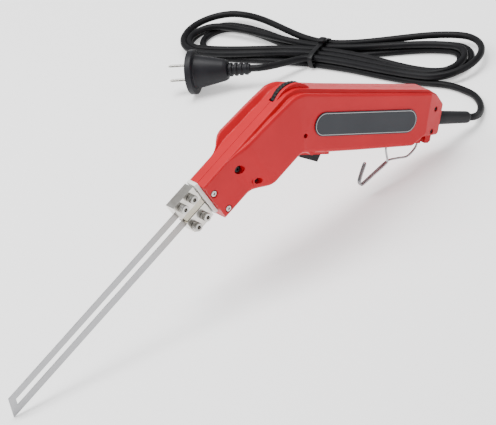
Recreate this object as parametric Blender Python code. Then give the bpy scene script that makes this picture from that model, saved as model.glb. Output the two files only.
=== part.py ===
"""Hot wire cutter: a handheld hot-knife foam cutter standing on its blade tip, with its tied mains lead.

All drawing numbers are millimetres. The tool is drawn in its own frame: x runs rearward along the handle,
y across the tool (the labelled side is -y) and z up from the handle. The nose has a second pair of axes in
the same plane: u forward along the blade and v downward across it. One empty tips the whole tool forward so
that the blade tip reaches the floor. The mains lead lies on the floor and is drawn in the floor's frame. A
second empty slides both along x, so that the world's origin lies under the middle of the tool.
"""

import math

import bmesh
import bpy
from mathutils import Vector

MM = 0.001
GAP = 0.3
BEND = math.radians(47.6)
PITCH = math.radians(28.0)
SEAM = 0.15
WALL = 3.0
SPINE_HALF = 9.4
SPINE_V = -0.7
NOSE_HALF = 10.2
BODY_HALF = 20.0
NOSE_END = 103.0
NOSE_DEPTH = 37.3
BULGE_DEPTH = 43.0
RAMP_FRONT = 76.0
RAMP_BACK = 56.0
HANDLE_END = 145.0
HANDLE_TAPER = 7.0 / 146.0
CAP_END = 164.5
BLADE_HALF = 0.5
BLADE_START = 113.0
BLADE_LONG = 329.5
BLADE_SHORT = 323.6
BLADE_TOP = 2.5
BLADE_BOTTOM = 18.7
SLOT_TOP = 8.0
SLOT_BOTTOM = 12.9
BLOCK_HALF = 5.0
BLOCK_BACK = 108.0
DIAL_CENTRE = (9.1, -11.9)
DIAL_RADIUS = 18.2
DIAL_HALF = 2.2
DIAL_RIDGES = 30
HOOK_AXIS_Z = -41.5
HOOK_WIRE = 0.9
HOOK_SPREAD = 1.05
TRIGGER_PIVOT = (25.5, -46.0)
TRIGGER_HALF = 6.0
BOOT_Z = -25.5
BOOT_END = 200.0
BOOT_RADIUS = 4.9
CORD_RADIUS = 3.0
PLUG_FACE = (77.5, 266.1, 19.6)
PLUG_AXIS = (-0.63, 0.776, 0.03)
PLUG_LENGTH = 54.0
PIN_PITCH = 12.7
PIN_TURN = math.radians(19.0)
TIE_CENTRE = (173.0, 205.0)
HANK_AXIS = (0.344, -0.939)
HANK_HEIGHT = 13.0

for old in list(bpy.data.objects):
    bpy.data.objects.remove(old, do_unlink=True)

parts = bpy.data.collections.new("hot_wire_cutter")
cutters = bpy.data.collections.new("cutters")
bpy.context.scene.collection.children.link(parts)
bpy.context.scene.collection.children.link(cutters)
cutters.hide_render = True


def uv(u, v):
    """Nose coordinates to the tool's x and z."""
    x = -u * math.cos(BEND) + v * math.sin(BEND)
    z = -u * math.sin(BEND) - v * math.cos(BEND)
    return (x, z)


tip_x, tip_z = uv(BLADE_LONG, BLADE_BOTTOM)
LIFT = tip_x * math.sin(PITCH) - tip_z * math.cos(PITCH)
front_x = tip_x * math.cos(PITCH) + tip_z * math.sin(PITCH)
rear_x = BOOT_END * math.cos(PITCH) + (BOOT_Z + BOOT_RADIUS) * math.sin(PITCH)

floor = bpy.data.objects.new("floor_frame", None)
floor.location = (-0.5 * (front_x + rear_x) * MM, 0.0, 0.0)
parts.objects.link(floor)
tool = bpy.data.objects.new("tool_frame", None)
tool.rotation_euler = (0.0, PITCH, 0.0)
tool.location = (0.0, 0.0, LIFT * MM)
tool.parent = floor
parts.objects.link(tool)


def material(name, colour, roughness, metallic=0.0):
    """A plain Principled material."""
    made = bpy.data.materials.new(name)
    made.use_nodes = True
    shader = made.node_tree.nodes["Principled BSDF"]
    shader.inputs["Base Color"].default_value = (*colour, 1.0)
    shader.inputs["Roughness"].default_value = roughness
    shader.inputs["Metallic"].default_value = metallic
    return made


RED = material("red_plastic", (0.62, 0.02, 0.03), 0.35)
BLACK = material("black_plastic", (0.015, 0.015, 0.017), 0.4)
RUBBER = material("black_rubber", (0.02, 0.02, 0.022), 0.6)
LABEL = material("label_film", (0.05, 0.055, 0.065), 0.5)
NICKEL = material("nickel_plate", (0.82, 0.81, 0.79), 0.22, 1.0)
STEEL = material("blade_steel", (0.55, 0.55, 0.55), 0.38, 1.0)
CHROME = material("chrome_wire", (0.85, 0.85, 0.86), 0.12, 1.0)
CERAMIC = material("white_ceramic", (0.86, 0.85, 0.82), 0.45)
MICA = material("cream_insulator", (0.72, 0.66, 0.5), 0.5)
IRON = material("lamination_steel", (0.25, 0.25, 0.26), 0.5, 1.0)
COPPER = material("copper", (0.6, 0.28, 0.12), 0.35, 1.0)
BOARD = material("circuit_board", (0.03, 0.2, 0.08), 0.5)


def finish(name, bm, surface, origin=(0.0, 0.0, 0.0), parent=tool, collection=parts):
    """Turns a bmesh drawn in millimetres into an object whose origin sits at the given point."""
    bmesh.ops.recalc_face_normals(bm, faces=bm.faces)
    shift = Vector(origin)
    for vert in bm.verts:
        vert.co = (vert.co - shift) * MM
    mesh = bpy.data.meshes.new(name)
    bm.to_mesh(mesh)
    bm.free()
    made = bpy.data.objects.new(name, mesh)
    made.location = shift * MM
    made.parent = parent
    if surface is not None:
        mesh.materials.append(surface)
    collection.objects.link(made)
    if collection is cutters:
        made.hide_render = True
        made.display_type = "WIRE"
    return made


def prism(outline, low, high):
    """A bmesh with an (x, z) outline extruded along y."""
    bm = bmesh.new()
    near = [bm.verts.new((x, low, z)) for x, z in outline]
    face = bm.faces.new(near)
    made = bmesh.ops.extrude_face_region(bm, geom=[face])
    moved = [item for item in made["geom"] if isinstance(item, bmesh.types.BMVert)]
    bmesh.ops.translate(bm, verts=moved, vec=(0.0, high - low, 0.0))
    return bm


def box_xz(x0, x1, z0, z1):
    return [(x0, z0), (x1, z0), (x1, z1), (x0, z1)]


def box_uv(u0, u1, v0, v1):
    return [uv(u0, v0), uv(u1, v0), uv(u1, v1), uv(u0, v1)]


def disc(centre, radius, low, high, sides=48):
    """A round plate about y."""
    x, z = centre
    turns = [2.0 * math.pi * i / sides for i in range(sides)]
    return prism([(x + radius * math.cos(a), z + radius * math.sin(a)) for a in turns], low, high)


def lathe(profile, start, axis, sides, side=None, flat=1.0):
    """A bmesh turned about an axis from (distance, radius) pairs; both ends are closed.

    With flat below 1 the sections are ellipses, whose long way lies along side.
    """
    axis = Vector(axis).normalized()
    side = Vector(side).normalized() if side else axis.orthogonal().normalized()
    other = axis.cross(side) * flat
    bm = bmesh.new()
    rings = []
    for distance, radius in profile:
        ring = []
        for i in range(sides):
            angle = 2.0 * math.pi * i / sides
            spoke = side * math.cos(angle) + other * math.sin(angle)
            ring.append(bm.verts.new(Vector(start) + axis * distance + spoke * radius))
        rings.append(ring)
    bm.faces.new(list(reversed(rings[0])))
    bm.faces.new(rings[-1])
    for low, high in zip(rings, rings[1:]):
        for i in range(sides):
            j = (i + 1) % sides
            bm.faces.new((low[i], low[j], high[j], high[i]))
    return bm


def cut(target, bm, operation="DIFFERENCE", solver="EXACT"):
    """Cuts or joins a bmesh drawn in the tool's millimetres, then removes the helper."""
    helper = finish("helper", bm, None, collection=cutters)
    bpy.context.view_layer.update()
    modifier = target.modifiers.new(operation.lower(), "BOOLEAN")
    modifier.operation = operation
    modifier.solver = solver
    modifier.object = helper
    graph = bpy.context.evaluated_depsgraph_get()
    mesh = bpy.data.meshes.new_from_object(target.evaluated_get(graph))
    target.modifiers.remove(modifier)
    target.data = mesh
    bpy.data.objects.remove(helper, do_unlink=True)


def join(target, bm, solver="EXACT"):
    cut(target, bm, "UNION", solver)


def smooth_path(route, count):
    """Points along a Catmull-Rom curve through the route, evenly spaced by length."""
    knots = [Vector(p) for p in route]
    knots = [2 * knots[0] - knots[1]] + knots + [2 * knots[-1] - knots[-2]]
    fine = []
    for a, b, c, d in zip(knots, knots[1:], knots[2:], knots[3:]):
        for step in range(24):
            t = step / 24.0
            bend = (2 * a - 5 * b + 4 * c - d) * t * t + (3 * b - a - 3 * c + d) * t**3
            fine.append(0.5 * (2 * b + (c - a) * t + bend))
    fine.append(knots[-2])
    lengths = [0.0]
    for a, b in zip(fine, fine[1:]):
        lengths.append(lengths[-1] + (b - a).length)
    path = []
    k = 0
    for i in range(count):
        wanted = lengths[-1] * i / (count - 1)
        while k < len(fine) - 2 and lengths[k + 1] < wanted:
            k += 1
        span = max(lengths[k + 1] - lengths[k], 1e-9)
        path.append(fine[k].lerp(fine[k + 1], min(1.0, (wanted - lengths[k]) / span)))
    return path


def tube(name, path, radius, surface, origin=(0.0, 0.0, 0.0), parent=tool, resolution=2):
    """A round wire along a path in millimetres."""
    shift = Vector(origin)
    curve = bpy.data.curves.new(name, "CURVE")
    curve.dimensions = "3D"
    curve.bevel_depth = radius * MM
    curve.bevel_resolution = resolution
    curve.use_fill_caps = True
    line = curve.splines.new("POLY")
    line.points.add(len(path) - 1)
    for point, place in zip(line.points, path):
        point.co = (*((Vector(place) - shift) * MM), 1.0)
    curve.materials.append(surface)
    made = bpy.data.objects.new(name, curve)
    made.location = shift * MM
    made.parent = parent
    parts.objects.link(made)
    return made


def blend(t):
    """A smooth step from 0 to 1."""
    t = min(1.0, max(0.0, t))
    return t * t * (3.0 - 2.0 * t)


def mix(a, b, t):
    return a + (b - a) * t


def handle_half(x):
    """Half width of the side panels along the handle."""
    return BODY_HALF - HANDLE_TAPER * max(0.0, x)


def sections():
    """Stations along the housing: top and bottom points in the side plane and the section's sizes.

    Each entry is (top, bottom, half width, rim drop, groove drop): the drops are measured down the section
    from the flat spine to the side panel's rim and to the bottom of the groove beside the spine.
    """
    made = []
    for u in (NOSE_END, 90.0, RAMP_FRONT, 72.5, 69.0, 66.0, 63.0, 60.0, RAMP_BACK):
        t = blend((RAMP_FRONT - u) / (RAMP_FRONT - RAMP_BACK))
        half = mix(NOSE_HALF, BODY_HALF, t)
        depth = mix(NOSE_DEPTH, BULGE_DEPTH, t)
        made.append((uv(u, SPINE_V), uv(u, depth), half, mix(0.4, -3.6, t), mix(0.4, 1.4, t)))
    for u in (41.0, 27.0):
        rim = mix(-3.6, -2.2, (RAMP_BACK - u) / (RAMP_BACK - 27.0))
        made.append((uv(u, SPINE_V), uv(u, BULGE_DEPTH), BODY_HALF, rim, 2.2))
    for top, bottom, rim in (
        (uv(18.0, SPINE_V), (14.6, -48.3), -1.5),
        (uv(10.0, SPINE_V), (15.3, -47.9), -0.8),
        (uv(4.0, SPINE_V), (16.0, -47.7), -0.2),
        ((0.3, -0.4), (16.8, -47.7), 0.3),
        ((4.2, 1.5), (17.9, -47.7), 0.8),
        ((9.0, 2.4), (19.3, -47.7), 1.2),
        ((16.0, 2.4), (22.0, -47.7), 1.5),
    ):
        made.append((top, bottom, handle_half(top[0]), rim, 3.2))
    for x in (42.0, 75.0, 110.0, 134.7, HANDLE_END):
        bottom = mix(-47.7, -45.7, (x - 56.0) / 79.0) if x < 140.0 else -38.4
        bottom = max(-47.7, bottom)
        top = mix(2.4, 0.5, (x - 16.0) / 126.0)
        made.append(((x, top), (x, bottom), handle_half(x), mix(1.7, 2.0, x / HANDLE_END), 3.4))
    made.append(((153.0, -3.0), (153.0, -38.6), 10.4, 1.0, 2.0))
    made.append(((CAP_END, -11.5), (CAP_END, -39.0), 6.4, 0.6, 0.6))
    return made


def section_points(station, inset):
    """Half of one section as (across, down) pairs from the top centre to the bottom centre."""
    top, bottom, half, rim, groove = station
    height = math.hypot(bottom[0] - top[0], bottom[1] - top[1])
    if inset > 0.0:
        half = half - inset
        roof = max(rim, groove, 0.0) + inset
        floor = height - inset
        return [(0.0, roof), (half, roof), (half, floor), (0.0, floor)]
    spine = min(SPINE_HALF, half - 0.6)
    room = half - spine
    soft = min(1.6, 0.35 * room)
    return [
        (0.0, 0.0),
        (spine - 0.6, 0.0),
        (spine, 0.35),
        (spine + 0.10 * room, groove),
        (spine + 0.34 * room, groove + 0.1),
        (half - soft - 0.18 * room, rim + 0.3),
        (half - 0.75 * soft, rim),
        (half - 0.01 * room, rim + soft + 0.2),
        (half, rim + soft + 1.0),
        (half, height - 3.2),
        (half - 0.9, height - 0.9),
        (half - 3.2, height),
        (0.0, height),
    ]


def half_loft(stations, inset, side, seam):
    """One side of the housing as a closed solid whose flat face lies at the seam."""
    bm = bmesh.new()
    rows = []
    for station in stations:
        top = Vector((station[0][0], 0.0, station[0][1]))
        bottom = Vector((station[1][0], 0.0, station[1][1]))
        down = (bottom - top).normalized()
        row = []
        for across, drop in section_points(station, inset):
            y = seam if across == 0.0 else across
            row.append(bm.verts.new(top + down * drop + Vector((0.0, side * y, 0.0))))
        rows.append(row)
    count = len(rows[0])
    for low, high in zip(rows, rows[1:]):
        for i in range(count):
            j = (i + 1) % count
            bm.faces.new((low[i], low[j], high[j], high[i]))
    bm.faces.new(list(reversed(rows[0])))
    bm.faces.new(rows[-1])
    bmesh.ops.triangulate(bm, faces=bm.faces)
    return bm


def cavity_stations():
    """The stations of the hollow inside, pulled in from both ends."""
    first = (uv(NOSE_END - WALL, SPINE_V), uv(NOSE_END - WALL, NOSE_DEPTH), NOSE_HALF, 0.4, 0.4)
    last = ((158.0, -6.5), (158.0, -38.8), 8.6, 0.8, 1.2)
    return [first] + sections()[1:-2] + [last]


# Each entry: name, place, half width of the housing there, radius and depth of the pocket, head radius.
CASE_SCREWS = (
    ("case_screw_nose_upper", uv(99.2, 10.8), NOSE_HALF, 3.0, 2.0, 2.6),
    ("case_screw_nose_lower", uv(96.9, 31.6), NOSE_HALF, 3.0, 2.0, 2.6),
    ("case_screw_body_upper", uv(71.9, 12.4), 11.3, 3.6, 4.0, 2.9),
    ("case_screw_body_lower", uv(66.0, 31.0), 15.2, 2.6, 5.5, 2.2),
    ("case_screw_handle_front", (14.6, -32.7), BODY_HALF, 1.9, 9.0, 1.6),
    ("case_screw_rear_upper", (155.0, -15.6), 9.7, 2.0, 3.5, 1.7),
    ("case_screw_rear_lower", (154.5, -34.3), 9.9, 2.0, 3.5, 1.7),
)
SCREW_SHANK = 1.1
SCREW_REACH = 6.0


def housing(name, side):
    """One half of the red housing: a hollow shell with screw posts, openings, bosses and pockets.

    Everything is drawn past the middle of the tool, and one last cut makes the flat seam.
    """

    def across(low, high):
        return (-high, -low) if side < 0 else (low, high)

    def add(shape):
        join(made, shape, "MANIFOLD")

    def remove(shape):
        cut(made, shape, solver="MANIFOLD")

    made = finish(name, half_loft(sections(), 0.0, side, -2.0), RED)
    remove(half_loft(cavity_stations(), WALL, side, -3.0))
    lip = [(15.9, -49.4), (17.6, -51.0), (49.8, -51.0), (49.8, -46.2), (19.8, -46.2)]
    add(prism(lip, *across(-1.0, 10.0)))
    add(prism(box_xz(109.0, 123.0, -45.6, -37.6), *across(-1.0, 10.6)))
    rear_boss = [(143.0, -45.0), (156.0, -45.0), (158.0, -43.0), (158.0, -37.0), (143.0, -37.0)]
    add(prism(rear_boss, *across(-1.0, 6.0)))
    add(disc(TRIGGER_PIVOT, 3.0, *across(TRIGGER_HALF + 0.5, BODY_HALF - 2.0), sides=20))
    if side < 0:
        add(disc((11.2, -14.8), 20.8, -5.4, -2.4, sides=64))
    for title, centre, half, pocket, depth, head in CASE_SCREWS:
        radius = 3.4 if half == NOSE_HALF else pocket + 1.6
        add(disc(centre, radius, *across(-1.0, half - 1.3), sides=20))
    for title, centre, half, pocket, depth, head in CASE_SCREWS:
        reach = half - depth + 1.0 if side < 0 else SCREW_REACH + 0.5
        remove(disc(centre, SCREW_SHANK + GAP, *across(-2.0, reach), sides=12))
        if side < 0:
            remove(disc(centre, pocket, -half - 14.0, -half + depth, sides=24))
    remove(disc(DIAL_CENTRE, DIAL_RADIUS + 0.9, -DIAL_HALF - 0.5, DIAL_HALF + 0.5, sides=64))
    remove(disc(DIAL_CENTRE, 3.1, -6.6, 4.8, sides=20))
    remove(prism(box_xz(20.0, 47.4, -60.0, -42.0), -TRIGGER_HALF - 0.4, TRIGGER_HALF + 0.4))
    remove(disc(TRIGGER_PIVOT, 1.2 + GAP, -9.6, 9.6, sides=16))
    remove(prism(box_uv(98.0, 106.0, 2.9, 6.5), -3.3, 3.3))
    remove(prism(box_uv(98.0, 106.0, 17.7, 24.3), -3.3, 3.3))
    remove(lathe([(0.0, 4.9), (18.0, 4.9)], (152.0, 0.0, BOOT_Z), (1.0, 0.0, 0.0), 24))
    remove(prism(box_xz(115.0, 119.6, -60.0, -38.4), -8.0, 8.0))
    remove(prism(box_xz(147.8, 152.4, -60.0, -39.0), -8.0, 8.0))
    for start, length in ((110.4, 4.8), (152.2, 4.4)):
        bearing = [(0.0, HOOK_WIRE + GAP), (length, HOOK_WIRE + GAP)]
        remove(lathe(bearing, (start, 0.0, HOOK_AXIS_Z), (1.0, 0.0, 0.0), 12))
    remove(prism(box_xz(-120.0, 200.0, -140.0, 40.0), *across(-30.0, SEAM)))
    return made


def case_screw(title, centre, half, pocket, depth, head):
    """A pan head screw whose head rests on the pocket's floor and whose shank reaches the far half."""
    face = -half + depth - GAP
    end = -face + SCREW_REACH
    profile = [(-1.7, head * 0.7), (-1.2, head), (0.0, head), (0.0, SCREW_SHANK), (end, SCREW_SHANK)]
    made = finish(title, lathe(profile, (centre[0], face, centre[1]), (0.0, 1.0, 0.0), 16), NICKEL)
    for turn in (0.0, math.pi / 2.0):
        along = Vector((math.cos(turn), 0.0, math.sin(turn))) * head * 0.55
        across = Vector((-math.sin(turn), 0.0, math.cos(turn))) * 0.3
        outline = []
        for a, b in ((-1, -1), (1, -1), (1, 1), (-1, 1)):
            corner = along * a + across * b
            outline.append((centre[0] + corner.x, centre[1] + corner.z))
        cut(made, prism(outline, face - 3.0, face - 0.8))


def label_plate():
    """A pill-shaped plate that lies on the labelled side and follows the handle's taper."""
    x0, x1, middle, radius = 22.5, 132.0, -23.7, 9.8
    outline = []
    for i in range(17):
        angle = -math.pi / 2.0 + math.pi * i / 16.0
        outline.append((x1 - radius + radius * math.cos(angle), middle + radius * math.sin(angle)))
    for i in range(17):
        angle = math.pi / 2.0 + math.pi * i / 16.0
        outline.append((x0 + radius + radius * math.cos(angle), middle + radius * math.sin(angle)))
    bm = prism(outline, -0.7 - GAP, -GAP)
    for vert in bm.verts:
        vert.co.y -= handle_half(vert.co.x)
    finish("label_plate", bm, LABEL)


def hot_blade():
    """A flat steel strip with a long slot, slanted at its free end and open toward the clamps."""
    slant = (BLADE_LONG - BLADE_SHORT) / (BLADE_BOTTOM - BLADE_TOP)
    slot_end = 319.2
    corners = [
        (BLADE_START, BLADE_TOP),
        (BLADE_SHORT, BLADE_TOP),
        (BLADE_LONG, BLADE_BOTTOM),
        (BLADE_START, BLADE_BOTTOM),
        (BLADE_START, SLOT_BOTTOM),
        (slot_end + slant * (SLOT_BOTTOM - SLOT_TOP), SLOT_BOTTOM),
        (slot_end, SLOT_TOP),
        (BLADE_START, SLOT_TOP),
    ]
    finish("hot_blade", prism([uv(u, v) for u, v in corners], -BLADE_HALF, BLADE_HALF), STEEL)


CLAMP_SCREWS = (
    ("clamp_screw_upper_rear", 114.8, 0.2),
    ("clamp_screw_upper_front", 125.3, 0.2),
    ("clamp_screw_lower_rear", 114.8, 21.6),
    ("clamp_screw_lower_front", 125.3, 21.6),
)
CLAMP_SHANK = 1.9


def blade_slit(top, bottom):
    """The space a leg of the blade takes up in a block, with the gap round it."""
    return prism(box_uv(BLADE_START - GAP, 140.0, top, bottom), -BLADE_HALF - GAP, BLADE_HALF + GAP)


def terminal_block(name, outline, stem_top, stem_bottom, slit_top, slit_bottom):
    """A nickel block split for the blade's leg, on a stem that passes back through the nose."""
    made = finish(name, prism(outline, -BLOCK_HALF, BLOCK_HALF), NICKEL)
    join(made, prism(box_uv(93.0, BLOCK_BACK + 2.0, stem_top, stem_bottom), -3.0, 3.0))
    cut(made, blade_slit(slit_top, slit_bottom))
    for title, u, v in CLAMP_SCREWS:
        if title.startswith(name.replace("terminal_block", "clamp_screw")):
            cut(made, disc(uv(u, v), CLAMP_SHANK + GAP, -8.0, 8.0, sides=20))


def clamp_screw(title, u, v):
    """A socket head cap screw: round head toward the labelled side, hexagonal socket, plain shank."""
    x, z = uv(u, v)
    start = -BLOCK_HALF - GAP
    end = BLOCK_HALF * 2.0 + 0.8
    profile = [(-5.4, 3.1), (-5.0, 3.5), (0.0, 3.5), (0.0, CLAMP_SHANK), (end, CLAMP_SHANK)]
    made = finish(title, lathe(profile, (x, start, z), (0.0, 1.0, 0.0), 24), NICKEL)
    cut(made, disc((x, z), 1.73, start - 8.0, start - 2.2, sides=6))


def front_end():
    """The insulator plate, the two terminal blocks, the strip between them and the four clamp screws."""
    flat = prism(box_uv(NOSE_END + GAP, 106.6, -5.0, 29.0), -5.3, 5.3)
    plate = finish("front_insulator_plate", flat, CERAMIC)
    cut(plate, prism(box_uv(100.0, 110.0, 2.9, 6.5), -3.3, 3.3))
    cut(plate, prism(box_uv(100.0, 110.0, 17.7, 24.3), -3.3, 3.3))
    upper = box_uv(BLOCK_BACK, 131.0, -5.3, SLOT_TOP)
    terminal_block("terminal_block_upper", upper, 3.2, 6.2, BLADE_TOP - GAP, 12.0)
    turns = (0.0, 0.52, 1.05, 1.57)
    corner = [uv(124.5 + 5.0 * math.sin(a), 23.5 + 5.0 * math.cos(a)) for a in turns]
    lower = [uv(BLOCK_BACK, 14.0), uv(BLOCK_BACK, 28.5)] + corner + [uv(129.5, 14.0)]
    terminal_block("terminal_block_lower", lower, 18.0, 24.0, 10.0, BLADE_BOTTOM + GAP)
    strip = finish("block_spacer", prism(box_uv(BLOCK_BACK, 128.0, SLOT_TOP + GAP, 13.7), -4.6, 4.6), MICA)
    cut(strip, blade_slit(SLOT_BOTTOM - GAP, 16.0))
    for entry in CLAMP_SCREWS:
        clamp_screw(*entry)


def dial():
    """The ridged thumb wheel in its slot at the bend, its shaft and the control it turns."""
    x, z = DIAL_CENTRE
    origin = (x, 0.0, z)
    outline = []
    for i in range(2 * DIAL_RIDGES):
        angle = 2.0 * math.pi * i / (2 * DIAL_RIDGES)
        radius = DIAL_RADIUS if i % 2 == 0 else DIAL_RADIUS - 0.6
        outline.append((x + radius * math.cos(angle), z + radius * math.sin(angle)))
    wheel = finish("dial_wheel", prism(outline, -DIAL_HALF, DIAL_HALF), BLACK, origin)
    cut(wheel, disc(DIAL_CENTRE, 2.8 + GAP, -8.0, 8.0, sides=20))
    finish("dial_shaft", disc(DIAL_CENTRE, 2.8, -6.2, 4.4, sides=20), STEEL, origin)
    finish("dial_potentiometer", disc(DIAL_CENTRE, 7.4, 4.9, 13.0, sides=24), BLACK)


def trigger_group():
    """The wedge-shaped trigger, the pin it rocks on and the switch above it."""
    x, z = TRIGGER_PIVOT
    outline = [(21.8, -43.2), (29.0, -42.6), (45.1, -46.8), (45.1, -52.2), (42.9, -58.4)]
    outline += [(24.4, -54.2), (21.8, -49.5)]
    made = finish("trigger", prism(outline, -TRIGGER_HALF, TRIGGER_HALF), BLACK, (x, 0.0, z))
    cut(made, disc(TRIGGER_PIVOT, 1.2 + GAP, -9.0, 9.0, sides=16))
    finish("trigger_pin", disc(TRIGGER_PIVOT, 1.2, -9.2, 9.2, sides=12), STEEL)
    switch = finish("trigger_switch", prism(box_xz(27.5, 46.0, -38.5, -29.0), -5.0, 5.0), BLACK)
    join(switch, prism(box_xz(31.0, 33.0, -40.6, -38.0), -2.0, 2.0))


def electrics():
    """The low-voltage transformer, the straps to the blocks, the control board and the cord's inner end."""
    core = finish("transformer_core", prism(box_uv(28.0, 56.0, 8.5, 37.5), -9.0, 9.0), IRON)
    for low, high in ((13.0, 20.0), (26.0, 33.0)):
        cut(core, prism(box_uv(33.0, 51.0, low, high), -12.0, 12.0))
    coil = finish("transformer_coil", prism(box_uv(33.4, 50.6, 13.4, 32.6), -15.0, 15.0), COPPER)
    cut(coil, prism(box_uv(30.0, 60.0, 19.6, 26.4), -9.4, 9.4))
    finish("secondary_strap_upper", prism(box_uv(58.5, 92.6, 4.8, 6.0), -2.6, 2.6), COPPER)
    finish("secondary_strap_lower", prism(box_uv(58.5, 92.6, 20.2, 21.8), -2.6, 2.6), COPPER)
    finish("circuit_board", prism(box_xz(52.0, 108.0, -13.6, -12.0), -9.0, 9.0), BOARD)
    can = lathe([(0.0, 5.0), (14.0, 5.0)], (70.0, 0.0, -14.0), (0.0, 0.0, -1.0), 16)
    finish("board_capacitor", can, BLACK)
    finish("board_triac", prism(box_xz(86.0, 96.0, -28.0, -14.0), -2.4, 2.4), IRON)
    clamp = finish("cord_clamp", prism(box_xz(128.0, 136.0, -33.0, -18.0), -8.0, 8.0), BLACK)
    cut(clamp, lathe([(0.0, 3.3), (16.0, 3.3)], (124.0, 0.0, BOOT_Z), (1.0, 0.0, 0.0), 12))
    finish("cord_inner", lathe([(0.0, 3.0), (30.0, 3.0)], (116.0, 0.0, BOOT_Z), (1.0, 0.0, 0.0), 12), RUBBER)


def hanging_hook():
    """One wire bent into a doubled hook; its two ends turn outward into bearings under the handle."""
    s = HOOK_SPREAD
    z = HOOK_AXIS_Z
    front = [(111.0, 0.0, z), (114.8, 0.0, z), (116.6, -0.1, z - 0.8), (117.3, -0.3, z - 3.0)]
    front += [(117.2, -0.7, -51.5), (120.4, -s, -60.2), (119.0, -s, -63.4)]
    run = [(109.0, -s, -71.8), (99.6, -s, -79.6), (97.0, -s, -80.0), (95.4, -s, -77.4), (96.0, -s, -71.5)]
    turn = [(97.7, -s, -63.6), (97.9, 0.0, -62.3), (97.7, s, -63.6)]
    back = [(x, -y, height) for x, y, height in reversed(run)]
    rear = [(118.5, s, -63.9), (124.0, s, -60.6), (133.0, s, -59.2), (142.8, 0.9, -57.6), (149.2, 0.4, -50.5)]
    rear += [(150.0, 0.2, z - 3.0), (150.6, 0.1, z - 0.8), (152.6, 0.0, z), (156.2, 0.0, z)]
    path = smooth_path(front + run + turn + back + rear, 78)
    tube("hanging_hook", path, HOOK_WIRE, CHROME, (133.0, 0.0, z), resolution=1)


def strain_relief():
    """The tapered rubber boot, with a flange inside the housing and a slanted free end."""
    start = 146.6
    step = CAP_END + GAP - start
    profile = [(0.0, 6.8), (3.2, 6.8), (3.2, 4.5), (step, 4.5), (step, 5.6), (BOOT_END - start, BOOT_RADIUS)]
    finish("strain_relief_boot", lathe(profile, (start, 0.0, BOOT_Z), (1.0, 0.0, 0.0), 20), RUBBER)


def on_floor(x, z, y=0.0):
    """A point of the tool's frame in the floor's frame, millimetres."""
    return (
        x * math.cos(PITCH) + z * math.sin(PITCH),
        y,
        -x * math.sin(PITCH) + z * math.cos(PITCH) + LIFT,
    )


def on_hank(along, across):
    """A floor point measured from the tie, along the bundle toward its rear folds and across it."""
    ax, ay = HANK_AXIS
    return (TIE_CENTRE[0] + along * ax - across * ay, TIE_CENTRE[1] + along * ay + across * ax)


def plate_on_floor(outline, low, high):
    """A bmesh with an (x, y) outline extruded along z."""
    bm = bmesh.new()
    face = bm.faces.new([bm.verts.new((x, y, low)) for x, y in outline])
    made = bmesh.ops.extrude_face_region(bm, geom=[face])
    moved = [item for item in made["geom"] if isinstance(item, bmesh.types.BMVert)]
    bmesh.ops.translate(bm, verts=moved, vec=(0.0, 0.0, high - low))
    return bm


def tied_hank():
    """The bundle as one solid, wide at both folds with a waist at the tie, and the tie over it."""
    stations = (
        (-146.0, -1.0, 19.0),
        (-139.0, -14.0, 32.0),
        (-122.0, -22.0, 40.0),
        (-90.0, -23.0, 39.0),
        (-45.0, -19.0, 26.0),
        (-8.0, -18.6, 15.0),
        (8.0, -18.6, 15.0),
        (45.0, -20.0, 24.0),
        (90.0, -23.0, 38.0),
        (125.0, -24.0, 45.0),
        (145.0, -18.0, 40.0),
        (157.0, -2.0, 22.0),
    )
    outline = [on_hank(along, low) for along, low, high in stations]
    outline += [on_hank(along, high) for along, low, high in reversed(stations)]
    finish("cord_hank", plate_on_floor(outline, 0.0, HANK_HEIGHT), RUBBER, parent=floor)
    inner, outer, half = 0.4, 1.6, 2.3
    arch = [
        (-18.6 - outer, 0.3),
        (-18.6 - outer, HANK_HEIGHT + outer),
        (15.0 + outer, HANK_HEIGHT + outer),
        (15.0 + outer, 0.3),
        (15.0 + inner, 0.3),
        (15.0 + inner, HANK_HEIGHT + inner),
        (-18.6 - inner, HANK_HEIGHT + inner),
        (-18.6 - inner, 0.3),
    ]
    bm = bmesh.new()
    face = bm.faces.new([bm.verts.new((*on_hank(-half, across), height)) for across, height in arch])
    made = bmesh.ops.extrude_face_region(bm, geom=[face])
    moved = [item for item in made["geom"] if isinstance(item, bmesh.types.BMVert)]
    along = Vector((*HANK_AXIS, 0.0)) * 2.0 * half
    bmesh.ops.translate(bm, verts=moved, vec=along)
    finish("cord_tie", bm, BLACK, parent=floor)


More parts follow.
